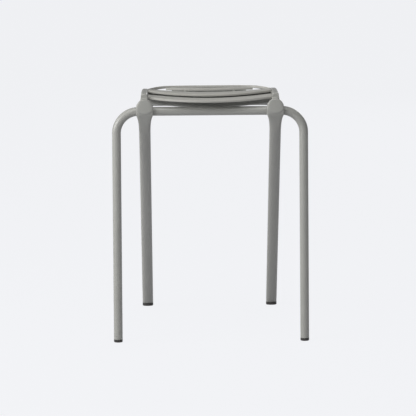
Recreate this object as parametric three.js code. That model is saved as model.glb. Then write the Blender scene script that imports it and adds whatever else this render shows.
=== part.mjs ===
// A stacking stool of bent and welded steel tube, in millimetres, +Z up, front towards -Y.
// A round tube hoop makes both front legs and the crossbar. Two oval rear legs slant up to the
// crossbar, and their flattened heads are welded to its front. Two rails stand on the crossbar
// and run back to a second bar. Five pressed slats lie between them, on two channels and two ribs.
import * as THREE from "three";

// Front hoop
const hoopTubeDiameter = 16;
const hoopTubeWall = 1.6;
const crossbarHeight = 423;
const hoopTopSpacing = 338;
const hoopFootSpacing = 341;
const hoopBendRadius = 40;

// Rear legs
const headSpacing = 235.6;
const headWidth = 31;
const headRise = 23.3;
const headThickness = 7.6;
const neckLength = 50;
const legWidth = 20.8;
const legThickness = 12.4;
const legWall = 1.5;
const rearFootSpacing = 243.6;
const rearFootReach = 362;

// Side rails and the saddles that carry them on the crossbar
const railSpacing = 237;
const railWidth = 12;
const railHeight = 16;
const railWall = 1.5;
const railCrownReach = 35;
const railArchRadius = 1040;
const railBendReach = 198;
const railBendRadius = 14;
const railTailLength = 12.5;
const railBoreDepth = 12;
const noseRoundLength = 5;
const noseStem = 9;
const saddleRise = 9;
const saddleWidth = 10;
const saddleFront = 4;
const saddleBack = 7;

// Rear bar
const rearBarDiameter = 16;
const rearBarWall = 1.6;
const rearBarDrop = 2.4;

// Seat: where its front edge lies in the middle and at the rails, and how its slats are pressed
const seatFrontReach = -25;
const seatCornerReach = 3;
const slatGap = 7;
const slatDepth = 4;
const slatSheet = 1.6;
const slatEdgeRadius = 1.5;

// Widths of the slats in the middle of the seat and at their ends. The centre one is a leaf that
// ends short of the rails, and leaves the seat open beyond its tips.
const outerSlatWidth = 47;
const innerSlatWidth = 50;
const centreSlatWidth = 73;
const frontSlatEndWidth = 44;
const secondSlatEndWidth = 48;
const backSlatEndWidth = 43;
const centreTipWidth = 14;
const centreHalfLength = 80;
const centreEndSpace = 29;

// How far the slats' tops lie under the rails' crown in the middle of the seat, and under the
// rails' top at their ends
const frontSlatSag = 11.45;
const secondSlatSag = 5.95;
const centreSlatSag = 3.55;
const fourthSlatSag = 4.95;
const rearSlatSag = 10.3;
const frontSlatDrop = 6.5;
const secondSlatDrop = 0.5;
const centreTipRise = 1.5;
const backSlatDrop = 0.3;

// Stiffeners: channels, open above, under the front and the rear gap of the seat
const rearChannelHalfLength = 70;
const channelWidth = 24;
const channelDepth = 13.5;
const channelEndDepth = 11;
const channelOverlap = 4;
const channelSheet = 1.6;
const channelCorner = 3;

// Ribs: two flat bars on edge, from channel to channel
const ribSpacing = 90;
const ribThickness = 3;

// Feet and plugs
const glideHeight = 5;
const glideChamfer = 0.8;
const glideStem = 20;
const padHeight = 5.7;
const padStem = 16;
const capHeight = 3;
const capStem = 9;

// Fits
const touchGap = 0.3;
const plugClearance = 0.3;

// Shapes, as shares of the sizes above
const ovalFullnessShare = 0.9;
const headFullnessShare = 0.5;
const railFullnessShare = 0.5;
// Height above the crossbar's axis, half-width and thickness of a head, from its top down
const headShares = [
  [1, 0.34, 0.55],
  [0.97, 0.41, 0.9],
  [0.84, 0.62, 1],
  [0.72, 0.77, 1],
  [0.5, 0.95, 1],
  [0.25, 1, 1],
];
// Run down the neck, and how far the head has narrowed to the leg there
const neckShares = [
  [0, 0],
  [0.06, 0.05],
  [0.18, 0.43],
  [0.32, 0.68],
  [0.5, 0.87],
  [0.75, 0.97],
  [1, 1],
];
// Run along the rounded nose in a rail's front end, and its size there
const noseShares = [
  [0, 0.55],
  [0.2, 0.82],
  [0.5, 0.95],
  [1, 1],
];

// Numbers of sides and steps
const tubeSides = 20;
const ovalSides = 20;
const railSides = 14;
const bendSteps = 7;
const wrapSteps = 4;
const archSteps = 9;
const slatSteps = 24;

const hoopRadius = hoopTubeDiameter / 2;
const rearBarRadius = rearBarDiameter / 2;
const wrapRadius = hoopRadius + touchGap;
const legFootHeight = padHeight + touchGap;
const railCrownHeight = crossbarHeight + hoopRadius + saddleRise + railHeight;
const slatHalfLength = (railSpacing - railWidth) / 2 - touchGap;

// The slats from front to back. Each bend is the power of a curve from the middle to the ends:
// of the front edge, of the back edge and of the sag.
const slats = [
  {
    name: "slat_front", halfLength: slatHalfLength, width: outerSlatWidth,
    endWidth: frontSlatEndWidth, frontBend: 2, backBend: 2,
    sag: frontSlatSag, endDrop: frontSlatDrop, sagBend: 2, tiltShare: 0,
  },
  {
    name: "slat_second", halfLength: slatHalfLength, width: innerSlatWidth,
    endWidth: secondSlatEndWidth, frontBend: 2, backBend: 2,
    sag: secondSlatSag, endDrop: secondSlatDrop, sagBend: 2, tiltShare: -0.006,
  },
  {
    name: "slat_centre", halfLength: centreHalfLength, width: centreSlatWidth,
    endWidth: centreTipWidth, frontBend: 2, backBend: 2.5,
    sag: centreSlatSag, endDrop: -centreTipRise, sagBend: 2, tiltShare: -0.078,
  },
  {
    name: "slat_fourth", halfLength: slatHalfLength, width: innerSlatWidth,
    endWidth: backSlatEndWidth, frontBend: 5, backBend: 5,
    sag: fourthSlatSag, endDrop: backSlatDrop, sagBend: 6, tiltShare: -0.094,
  },
  {
    name: "slat_rear", halfLength: slatHalfLength, width: outerSlatWidth,
    endWidth: backSlatEndWidth, frontBend: 5, backBend: 5,
    sag: rearSlatSag, endDrop: backSlatDrop, sagBend: 6, tiltShare: -0.094,
  },
];
const [frontSlat, secondSlat, centreSlat, fourthSlat, rearSlat] = slats;

const finishes = {
  frame: { color: 0x94968f, roughness: 0.45, metalness: 0.1 },
  seat: { color: 0x9c9c94, roughness: 0.45, metalness: 0.1 },
  foot: { color: 0x282624, roughness: 0.6, metalness: 0 },
};

const sides = [["left", -1], ["right", 1]];
const { lerp: mix, smoothstep } = THREE.MathUtils;

// The crossbar's axis is drawn at y = 0, and the group is moved so that the origin is on the
// floor under the middle of the stool.
const stool = new THREE.Group();
stool.name = "stool";

function addPiece(name, geometry, finish) {
  const mesh = new THREE.Mesh(geometry, new THREE.MeshStandardMaterial(finish));
  mesh.name = name;
  stool.add(mesh);
}

// A route for a tube, given by its stations only, so that straight runs cost no triangles.
class Route extends THREE.Curve {
  constructor(stations) {
    super();
    this.stations = stations;
    this.steps = stations.length - 1;
  }

  getPoint(t, target = new THREE.Vector3()) {
    const at = t * this.steps;
    const i = Math.min(Math.floor(at), this.steps - 1);
    return target.lerpVectors(this.stations[i], this.stations[i + 1], at - i);
  }

  getPointAt(u, target) {
    return this.getPoint(u, target);
  }

  getTangentAt(u, target = new THREE.Vector3()) {
    const i = Math.round(u * this.steps);
    const here = this.stations[i];
    const arriving = here.clone().sub(this.stations[Math.max(i - 1, 0)]).normalize();
    const leaving = this.stations[Math.min(i + 1, this.steps)].clone().sub(here).normalize();
    return target.copy(arriving).add(leaving).normalize();
  }
}

// The arc that rounds the corner between two straight runs.
function bend(before, corner, after, radius) {
  const back = before.clone().sub(corner).normalize();
  const ahead = after.clone().sub(corner).normalize();
  const half = back.angleTo(ahead) / 2;
  const middle = back.clone().add(ahead).normalize();
  const centre = corner.clone().addScaledVector(middle, radius / Math.sin(half));
  const first = corner.clone().addScaledVector(back, radius / Math.tan(half)).sub(centre);
  const axis = ahead.clone().cross(back).normalize();
  const turn = Math.PI - half * 2;
  return Array.from({ length: bendSteps + 1 }, (_, i) =>
    first.clone().applyAxisAngle(axis, (turn * i) / bendSteps).add(centre),
  );
}

// A tube along a list of stations, open at both ends.
function tubeAlong(stations, radius, wall) {
  const route = new Route(stations);
  const section = new THREE.Shape().absarc(0, 0, radius, 0, Math.PI * 2);
  section.holes.push(new THREE.Path().absarc(0, 0, radius - wall, 0, Math.PI * 2, true));
  return new THREE.ExtrudeGeometry(section, {
    steps: route.steps,
    curveSegments: tubeSides / 2,
    extrudePath: route,
  });
}

function volumeOf(points, faces) {
  let sum = 0;
  for (let i = 0; i < faces.length; i += 3) {
    const [a, b, c] = [points[faces[i]], points[faces[i + 1]], points[faces[i + 2]]];
    sum += a.dot(b.clone().cross(c));
  }
  return sum;
}

// The outline of a flat ring, seen along the axis that it faces most.
function flatten(ring) {
  const views = [["x", "y"], ["y", "z"], ["z", "x"]].map(([a, b]) =>
    ring.map((p) => new THREE.Vector2(p[a], p[b])),
  );
  const areas = views.map((view) => Math.abs(THREE.ShapeUtils.area(view)));
  return views[areas.indexOf(Math.max(...areas))];
}

// The faces that fill a ring, turned the same way as the ring.
function fillRing(ring, start) {
  const outline = flatten(ring);
  const faces = THREE.ShapeUtils.triangulateShape(outline, []).flat().map((i) => i + start);
  return THREE.ShapeUtils.area(outline) > 0 ? faces : faces.reverse();
}

// A closed body through rings of points, each joined to the next, with both ends filled.
function loft(rings) {
  const count = rings[0].length;
  const points = rings.flat();
  const faces = [];
  for (let i = 0; i < rings.length - 1; i++) {
    for (let j = 0; j < count; j++) {
      const a = i * count + j;
      const b = i * count + ((j + 1) % count);
      faces.push(a, b, b + count, a, b + count, a + count);
    }
  }
  faces.push(...fillRing(rings[0], 0).reverse());
  faces.push(...fillRing(rings[rings.length - 1], points.length - count));
  if (volumeOf(points, faces) < 0) faces.reverse();
  const geometry = new THREE.BufferGeometry().setFromPoints(points);
  geometry.setIndex(faces);
  geometry.computeVertexNormals();
  return geometry;
}

// A level or tilted oval ring. Its width lies along X and its thickness along a direction in the
// YZ plane. A share of 1 gives an ellipse, and a smaller one squares it off.
function ovalRing(centre, halfWidth, halfThickness, tilt, fullnessShare, count = ovalSides) {
  return Array.from({ length: count }, (_, i) => {
    const turn = (i / count) * Math.PI * 2;
    const across = Math.sign(Math.cos(turn)) * Math.abs(Math.cos(turn)) ** fullnessShare;
    const through = Math.sign(Math.sin(turn)) * Math.abs(Math.sin(turn)) ** fullnessShare;
    return new THREE.Vector3(
      centre.x + halfWidth * across,
      centre.y + halfThickness * through * tilt.y,
      centre.z + halfThickness * through * tilt.z,
    );
  });
}

function levelRing(x, y, z, halfWidth, halfLength, fullnessShare = 1, count = tubeSides) {
  const level = { y: 1, z: 0 };
  return ovalRing({ x, y, z }, halfWidth, halfLength, level, fullnessShare, count);
}

// A value read between the rows of a table of shares.
function readShares(table, at) {
  const next = Math.max(table.findIndex((row) => row[0] >= at), 1);
  if (at >= table[table.length - 1][0]) return table[table.length - 1][1];
  const [from, to] = [table[next - 1], table[next]];
  return mix(from[1], to[1], (at - from[0]) / (to[0] - from[0]));
}

function addFrontHoop() {
  const footHeight = glideHeight + touchGap;
  const corners = [
    new THREE.Vector3(-hoopFootSpacing / 2, 0, footHeight),
    new THREE.Vector3(-hoopTopSpacing / 2, 0, crossbarHeight),
    new THREE.Vector3(hoopTopSpacing / 2, 0, crossbarHeight),
    new THREE.Vector3(hoopFootSpacing / 2, 0, footHeight),
  ];
  const stations = [
    corners[0],
    ...bend(corners[0], corners[1], corners[2], hoopBendRadius),
    ...bend(corners[1], corners[2], corners[3], hoopBendRadius),
    corners[3],
  ];
  addPiece("front_hoop", tubeAlong(stations, hoopRadius, hoopTubeWall), finishes.frame);
}

// A rear leg's lean from upright: its middle line runs from the foot to touch a circle round the
// crossbar's axis.
const legLean = leanToFoot();

function leanToFoot() {
  const fall = crossbarHeight - legFootHeight;
  const circle = wrapRadius + legThickness / 2;
  const run = Math.sqrt(rearFootReach ** 2 + fall ** 2 - circle ** 2);
  return Math.atan(rearFootReach / fall) + Math.atan(circle / run);
}

// A ring of a rear leg at a run along its inner face, which starts at the crossbar's axis height,
// is upright above it, and wraps the crossbar below it.
function legRing(side, run, width, thickness, fullnessShare) {
  const wrapLength = wrapRadius * legLean;
  const angle = THREE.MathUtils.clamp(run / wrapRadius, 0, legLean);
  const past = run < 0 ? run : Math.max(run - wrapLength, 0);
  const outward = { y: -Math.cos(angle), z: -Math.sin(angle) };
  const reach = wrapRadius + thickness / 2;
  const centre = {
    y: outward.y * reach + past * Math.sin(angle),
    z: crossbarHeight + outward.z * reach - past * Math.cos(angle),
  };
  centre.x = side * legSpread(centre.z);
  return ovalRing(centre, width / 2, thickness / 2, outward, fullnessShare);
}

function legSpread(z) {
  const share = (crossbarHeight - z) / (crossbarHeight - legFootHeight);
  return mix(headSpacing, rearFootSpacing, Math.max(share, 0)) / 2;
}

// The level ring where a leg is cut for its foot. It follows the leg up for the bore and stem.
function legCut(side, z, inset) {
  const back = (z - legFootHeight) * Math.tan(legLean);
  const halfLength = (legThickness / 2 - inset) / Math.cos(legLean);
  const at = { x: side * legSpread(z), y: rearFootReach - back, z };
  const level = { y: -1, z: 0 };
  return ovalRing(at, legWidth / 2 - inset, halfLength, level, ovalFullnessShare);
}

function addRearLeg(name, side) {
  const rings = headShares.map(([rise, width, thickness]) =>
    legRing(side, -rise * headRise, width * headWidth, thickness * headThickness, headFullnessShare),
  );
  const wrapLength = wrapRadius * legLean;
  const runs = Array.from({ length: wrapSteps + 1 }, (_, i) => (wrapLength * i) / wrapSteps);
  runs.push(...neckShares.map((row) => row[0] * neckLength).filter((run) => run > wrapLength));
  for (const run of runs) {
    const share = readShares(neckShares, run / neckLength);
    const swell = smoothstep(run, 0, neckLength);
    const width = mix(headWidth, legWidth, share);
    const thickness = mix(headThickness, legThickness, swell);
    rings.push(legRing(side, run, width, thickness, mix(headFullnessShare, ovalFullnessShare, swell)));
  }
  const boreTop = crossbarHeight - headRise - neckLength * Math.cos(legLean);
  rings.push(
    legCut(side, legFootHeight, 0),
    legCut(side, legFootHeight, legWall),
    legCut(side, boreTop, legWall),
  );
  addPiece(name, loft(rings), finishes.frame);
}

// Height of the rails' top: an arc with its crown near the front.
function railTop(y) {
  const past = y - railCrownReach;
  return railCrownHeight - railArchRadius + Math.sqrt(railArchRadius ** 2 - past ** 2);
}

function railSlope(y) {
  return Math.asin((y - railCrownReach) / railArchRadius);
}

// A station on a rail's middle line, under its top, with the way that its ring is tilted.
function railStation(y) {
  const slope = railSlope(y);
  return { y, z: railTop(y) - railHeight / 2, tilt: { y: Math.sin(slope), z: Math.cos(slope) } };
}

// Where a rail has turned straight down at its rear end.
const railTail = railTailPoint();
const rearBarHeight = railTail.z - rearBarDrop;

function railTailPoint() {
  const start = railStation(railBendReach);
  return {
    y: start.y - start.tilt.y * railBendRadius + railBendRadius,
    z: start.z - start.tilt.z * railBendRadius,
  };
}

function railRing(side, at, inset = 0, sizeShare = 1) {
  return ovalRing(
    { x: (side * railSpacing) / 2, ...at }, (railWidth / 2) * sizeShare - inset,
    (railHeight / 2) * sizeShare - inset, at.tilt, railFullnessShare, railSides,
  );
}

// A rail starts over the crossbar's axis and has a bore at both ends.
function addRail(name, side) {
  const ring = (at, inset) => railRing(side, at, inset);
  const rings = [
    ring(railStation(touchGap + railBoreDepth), railWall),
    ring(railStation(touchGap), railWall),
  ];
  for (let i = 0; i <= archSteps; i++) {
    rings.push(ring(railStation(mix(touchGap, railBendReach, i / archSteps))));
  }
  const centre = { y: railTail.y - railBendRadius, z: railTail.z };
  const slope = railSlope(railBendReach);
  for (let i = 1; i <= bendSteps; i++) {
    const angle = mix(slope, Math.PI / 2, i / bendSteps);
    const tilt = { y: Math.sin(angle), z: Math.cos(angle) };
    rings.push(
      ring({ y: centre.y + tilt.y * railBendRadius, z: centre.z + tilt.z * railBendRadius, tilt }),
    );
  }
  const down = { y: 1, z: 0 };
  const end = { y: railTail.y, z: railTail.z - railTailLength, tilt: down };
  rings.push(ring(end), ring(end, railWall), ring({ ...railTail, tilt: down }, railWall));
  addPiece(name, loft(rings), finishes.frame);
}

// The plug in a rail's front end, whose rounded head ends over the crossbar's front.
function addRailNose(name, side) {
  const rings = noseShares.map(([run, size]) =>
    railRing(side, railStation(run * noseRoundLength - hoopRadius), 0, size),
  );
  const inset = railWall + plugClearance;
  rings.push(
    railRing(side, railStation(0)),
    railRing(side, railStation(0), inset),
    railRing(side, railStation(noseStem), inset),
  );
  addPiece(name, loft(rings), finishes.frame);
}

function addRailCap(name, side) {
  const x = (side * railSpacing) / 2;
  const top = railTail.z - railTailLength - touchGap;
  const inset = railWall + plugClearance;
  const ring = (z, shrink) =>
    levelRing(
      x, railTail.y, z, railWidth / 2 - shrink, railHeight / 2 - shrink, railFullnessShare, railSides,
    );
  const rings = [
    ring(top - capHeight, glideChamfer),
    ring(top - capHeight + glideChamfer, 0),
    ring(top, 0),
    ring(top, inset),
    ring(top + capStem, inset),
  ];
  addPiece(name, loft(rings), finishes.foot);
}

// A saddle fills the space between the crossbar, whose round top it follows, and a rail.
function addSaddle(name, side) {
  const outline = [];
  for (let i = 0; i <= bendSteps; i++) {
    const y = mix(-saddleFront, saddleBack, i / bendSteps);
    const onBar = Math.abs(y) < wrapRadius;
    const rise = onBar ? Math.sqrt(wrapRadius ** 2 - y ** 2) : 0;
    outline.push(new THREE.Vector2(y, crossbarHeight + rise));
  }
  for (let i = bendSteps; i >= 0; i--) {
    const y = mix(-saddleFront, saddleBack, i / bendSteps);
    outline.push(new THREE.Vector2(y, railTop(y) - railHeight - touchGap));
  }
  const rings = [-1, 1].map((end) =>
    outline.map(
      (p) => new THREE.Vector3((side * railSpacing + end * saddleWidth) / 2, p.x, p.y),
    ),
  );
  addPiece(name, loft(rings), finishes.frame);
}

function addRearBar() {
  const stations = [-1, 1].map(
    (end) => new THREE.Vector3(end * slatHalfLength, railTail.y, rearBarHeight),
  );
  addPiece("rear_crossbar", tubeAlong(stations, rearBarRadius, rearBarWall), finishes.frame);
}

const along = (slat, x, power) => Math.abs(x / slat.halfLength) ** power;

// A slat's edges in plan: each bows from its middle to its ends.
function placeSlat(slat, middle, end) {
  slat.middleBack = middle + slat.width;
  slat.endBack = end + slat.endWidth;
  slat.front = (x) => mix(middle, end, along(slat, x, slat.frontBend));
  slat.back = (x) => mix(slat.middleBack, slat.endBack, along(slat, x, slat.backBend));
}

function placeSlats() {
  placeSlat(frontSlat, seatFrontReach, seatCornerReach);
  placeSlat(secondSlat, frontSlat.middleBack + slatGap, frontSlat.endBack + slatGap);
  // The leaf keeps its gap to the slat before it, right to its tips.
  const tip = secondSlat.back(centreHalfLength) + slatGap;
  placeSlat(centreSlat, secondSlat.middleBack + slatGap, tip);
  placeSlat(fourthSlat, centreSlat.middleBack + slatGap, secondSlat.endBack + centreEndSpace);
  placeSlat(rearSlat, fourthSlat.middleBack + slatGap, fourthSlat.endBack + slatGap);
}

// Height of a slat's top, which sags in the middle and follows the rails at its ends.
function slatTop(slat, x, y) {
  const centre = (slat.front(0) + slat.back(0)) / 2;
  const middle = railCrownHeight - slat.sag + (y - centre) * slat.tiltShare;
  const end = railTop(Math.min(y, slat.endBack)) - slat.endDrop;
  return mix(middle, end, along(slat, x, slat.sagBend));
}

// A slat is a shallow pan, pressed from sheet with its front and back edges turned down.
function addSlat(slat) {
  const rings = Array.from({ length: slatSteps + 1 }, (_, i) => {
    const x = mix(-slat.halfLength, slat.halfLength, i / slatSteps);
    const [front, back] = [slat.front(x), slat.back(x)];
    const middle = (front + back) / 2;
    const point = (y, down) => new THREE.Vector3(x, y, slatTop(slat, x, y) - down);
    const shoulder = slatEdgeRadius * (1 - Math.SQRT1_2);
    return [
      point(front, slatDepth),
      point(front, slatEdgeRadius),
      point(front + shoulder, shoulder),
      point(front + slatEdgeRadius, 0),
      point(middle, 0),
      point(back - slatEdgeRadius, 0),
      point(back - shoulder, shoulder),
      point(back, slatEdgeRadius),
      point(back, slatDepth),
      point(back - slatSheet, slatDepth),
      point(back - slatSheet, slatSheet),
      point(middle, slatSheet),
      point(front + slatSheet, slatSheet),
      point(front + slatSheet, slatDepth),
    ];
  });
  addPiece(slat.name, loft(rings), finishes.seat);
}

const frontChannelNear = (x) => frontSlat.back(x) - channelOverlap;
const rearChannelNear = (x) => rearSlat.front(x) + channelOverlap - channelWidth;
const ribBottom = rearBarHeight + rearBarRadius + touchGap;

// Heights just under a slat's lips and just under its sheet
const underLips = (slat, x, y) => slatTop(slat, x, y) - slatDepth - touchGap;
const underSheet = (slat, x, y) => slatTop(slat, x, y) - slatSheet - touchGap;

// A channel bows with a slat's edge. Its walls reach up into the two slats that they carry.
function addStiffener(name, halfLength, nearAt, nearSlat, farSlat, bottomAt) {
  const rings = Array.from({ length: slatSteps + 1 }, (_, i) => {
    const x = mix(-halfLength, halfLength, i / slatSteps);
    const near = nearAt(x);
    const far = near + channelWidth;
    const bottom = bottomAt(x);
    const floor = bottom + channelSheet;
    const point = (y, z) => new THREE.Vector3(x, y, z);
    return [
      point(near, underSheet(nearSlat, x, near)),
      point(near, bottom + channelCorner),
      point(near + channelCorner, bottom),
      point(far - channelCorner, bottom),
      point(far, bottom + channelCorner),
      point(far, underSheet(farSlat, x, far)),
      point(far - channelSheet, underSheet(farSlat, x, far)),
      point(far - channelSheet, bottom + channelCorner),
      point(far - channelCorner, floor),
      point(near + channelCorner, floor),
      point(near + channelSheet, bottom + channelCorner),
      point(near + channelSheet, underSheet(nearSlat, x, near)),
    ];
  });
  addPiece(name, loft(rings), finishes.frame);
}

function addStiffeners() {
  addStiffener(
    "stiffener_front", slatHalfLength, frontChannelNear, frontSlat, secondSlat, (x) => {
      const depth = mix(channelDepth, channelEndDepth, along(frontSlat, x, 2));
      return underLips(frontSlat, x, frontSlat.back(x)) - depth;
    },
  );
  // The rear one is shorter and lies on the rear bar.
  addStiffener(
    "stiffener_rear", rearChannelHalfLength, rearChannelNear, fourthSlat, rearSlat, () => ribBottom,
  );
}

// A rib carries the slats between the channels. Its top follows their lips.
function addRib(name, side) {
  const rings = [-1, 1].map((end) => {
    const x = (side * ribSpacing + end * ribThickness) / 2;
    const start = frontChannelNear(x) + channelWidth + touchGap;
    const stop = rearChannelNear(x) - touchGap;
    const top = [secondSlat, centreSlat, fourthSlat].flatMap((slat) =>
      [Math.max(slat.front(x), start), Math.min(slat.back(x), stop)].map((y) => [
        y, underLips(slat, x, y),
      ]),
    );
    const outline = [[stop, ribBottom], [start, ribBottom], ...top];
    return outline.map(([y, z]) => new THREE.Vector3(x, y, z));
  });
  addPiece(name, loft(rings), finishes.frame);
}

function addFrontFoot(name, side) {
  const x = (side * hoopFootSpacing) / 2;
  const stem = hoopRadius - hoopTubeWall - plugClearance;
  const ring = (z, radius) => levelRing(x, 0, z, radius, radius);
  const rings = [
    ring(0, hoopRadius - glideChamfer),
    ring(glideChamfer, hoopRadius),
    ring(glideHeight, hoopRadius),
    ring(glideHeight, stem),
    ring(glideHeight + glideStem, stem),
  ];
  addPiece(name, loft(rings), finishes.foot);
}

// A rear pad takes the outline of the cut leg, and its stem slants up into the bore.
function addRearFoot(name, side) {
  const pad = (z, inset) => {
    const halfLength = legThickness / 2 / Math.cos(legLean) - inset;
    const at = { x: side * legSpread(legFootHeight), y: rearFootReach, z };
    return ovalRing(at, legWidth / 2 - inset, halfLength, { y: -1, z: 0 }, ovalFullnessShare);
  };
  const inset = legWall + plugClearance;
  const rings = [
    pad(0, glideChamfer),
    pad(glideChamfer, 0),
    pad(padHeight, 0),
    legCut(side, padHeight, inset),
    legCut(side, padHeight + padStem, inset),
  ];
  addPiece(name, loft(rings), finishes.foot);
}

placeSlats();
addFrontHoop();
addRearBar();
slats.forEach(addSlat);
addStiffeners();
for (const [sideName, side] of sides) {
  addRearLeg(`rear_leg_${sideName}`, side);
  addRail(`side_rail_${sideName}`, side);
  addRailNose(`rail_nose_${sideName}`, side);
  addRailCap(`rail_cap_${sideName}`, side);
  addSaddle(`rail_saddle_${sideName}`, side);
  addRib(`seat_rib_${sideName}`, side);
  addFrontFoot(`front_foot_${sideName}`, side);
  addRearFoot(`rear_foot_${sideName}`, side);
}

const rearReach = rearFootReach + legThickness / 2 / Math.cos(legLean);
stool.position.y = -(seatFrontReach + rearReach) / 2;

export default stool;
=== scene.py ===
# %% [markdown]
# A small stacking stool, dressed for a studio picture. Its frame is bent steel tube: a hoop in
# front, two slanted oval legs whose flattened heads are welded to the hoop's crossbar, and two
# rails that carry five pressed slats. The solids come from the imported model. Nearly every piece
# is made again here, in the same place and size, with finer faces and a real finish.

import math

import bmesh
import bpy
from mathutils import Matrix, Vector


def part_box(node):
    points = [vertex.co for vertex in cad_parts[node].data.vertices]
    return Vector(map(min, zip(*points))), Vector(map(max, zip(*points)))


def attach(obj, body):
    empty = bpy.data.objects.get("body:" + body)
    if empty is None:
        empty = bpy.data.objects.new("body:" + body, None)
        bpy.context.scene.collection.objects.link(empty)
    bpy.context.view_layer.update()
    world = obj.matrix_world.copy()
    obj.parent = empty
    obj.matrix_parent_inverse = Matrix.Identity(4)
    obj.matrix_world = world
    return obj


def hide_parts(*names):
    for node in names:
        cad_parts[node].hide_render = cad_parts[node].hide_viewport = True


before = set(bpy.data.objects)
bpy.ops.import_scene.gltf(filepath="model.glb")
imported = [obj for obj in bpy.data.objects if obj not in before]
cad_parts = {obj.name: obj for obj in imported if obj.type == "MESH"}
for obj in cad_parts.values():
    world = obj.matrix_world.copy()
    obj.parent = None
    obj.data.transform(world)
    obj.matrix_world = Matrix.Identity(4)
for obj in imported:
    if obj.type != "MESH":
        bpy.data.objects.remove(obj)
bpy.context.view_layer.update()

# %% [markdown]
# The stool's sizes are written in millimetres, as its maker would, and turned to metres in one
# place. Places along Y are measured from the crossbar's axis, which the hoop's own box gives.

# %% Units and the crossbar's axis
MM = 0.001
TOUCH = 0.3  # The gap that stands for a weld between two solids
SIDES = (("left", -1), ("right", 1))
hoop_low, hoop_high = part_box("front_hoop")
bar_y = (hoop_low.y + hoop_high.y) / 2
TUBE_RADIUS = (hoop_high.y - hoop_low.y) / 2 / MM
BAR_HEIGHT = hoop_high.z / MM - TUBE_RADIUS


def place(x, y, z):
    """A point in millimetres, with y counted from the crossbar's axis, as a point in metres."""
    return Vector((x * MM, y * MM + bar_y, z * MM))


print(f"crossbar: {TUBE_RADIUS:.1f} mm radius, axis at {BAR_HEIGHT:.1f} mm")

# %% [markdown]
# The camera stands about four and a half metres in front of the stool, at about twice the seat's
# height, with a long lens, so that the four legs keep nearly their true widths. A shorter lens
# from nearer by would spread the front legs. The lens, the place and the turn were worked out
# from where the four feet, the crossbar and the seat's edges lie in the picture.

# %% Camera
PICTURE, FOCAL_PIXELS = 416, 2449  # The picture's width and the lens, both in its pixels
SENSOR = 36
CAMERA_PLACE = (-41.5, -4397, 889)
PITCH, YAW, ROLL = math.radians(8.32), math.radians(0.478), 0.0075  # In radians
FAR_CLIP = 100

camera_data = bpy.data.cameras.new("studio_camera")
camera_data.sensor_width = SENSOR
camera_data.lens = FOCAL_PIXELS / PICTURE * SENSOR
camera_data.clip_end = FAR_CLIP
camera = bpy.data.objects.new("studio_camera", camera_data)
bpy.context.scene.collection.objects.link(camera)
camera.location = place(*CAMERA_PLACE)
look = Vector((math.sin(YAW) * math.cos(PITCH), math.cos(YAW) * math.cos(PITCH), -math.sin(PITCH)))
turn = look.to_track_quat("-Z", "Y").to_matrix() @ Matrix.Rotation(-ROLL, 3, "Z")
camera.rotation_euler = turn.to_euler()
bpy.context.scene.camera = camera
print(f"lens {camera_data.lens:.1f} mm")

# %% [markdown]
# Colours are picked from a screen, so they are sRGB, while a shader works with linear
# light. One function turns a hex value into the linear colour that a socket takes, and another
# adds a node with its settings and links, so that each node below is one short call.

# %% Colour and node helpers


def linear(hex_colour):
    """The linear RGBA of an sRGB hex colour."""
    parts = [int(hex_colour[i : i + 2], 16) / 255 for i in (1, 3, 5)]
    return tuple(c / 12.92 if c <= 0.04045 else ((c + 0.055) / 1.055) ** 2.4 for c in parts) + (1,)


def add_node(tree, kind, settings=None, **links):
    """Adds a node. Each link names an input, or numbers it as i0, i1 and so on, and gives a
    value or another node's output."""
    node = tree.nodes.new(kind)
    for key, value in (settings or {}).items():
        setattr(node, key, value)
    for key, value in links.items():
        index = key.removeprefix("i")
        socket = node.inputs[int(index) if index.isdigit() else key.replace("_", " ")]
        if isinstance(value, bpy.types.NodeSocket):
            tree.links.new(value, socket)
        else:
            socket.default_value = value
    return node


def empty_material(name):
    material = bpy.data.materials.new(name)
    material.use_nodes = True
    material.node_tree.nodes.clear()
    return material, material.node_tree


print("a middle grey, #808080, in linear light:", round(linear("#808080")[0], 3))

# %% [markdown]
# The frame and the seat are steel with a powder coat: a polymer powder, sprayed on and baked
# until it flows. The eye sees a warm grey-green with a broad, soft highlight, a very fine
# pebbled skin, and a slightly uneven tone. A plain paint shader with a wide gloss gives the
# highlight, and two noises on real sizes in millimetres give the skin and the tone. The tubes
# are glossier than the slats, whose sheet shows hardly any highlight, so each has its own finish.

# %% Powder coat
PEBBLE_MM = 1.1  # The real pebbles are about 0.3 mm, and are drawn coarser so that they show
PEBBLE_DEPTH_MM, PEBBLE_STRENGTH = 0.12, 0.22
SMOOTHER, ROUGHER = 0.05, 0.07  # How far the roughness strays to either side over the pebbles
TONE_MM = 45
COAT_IOR = 1.5


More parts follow.
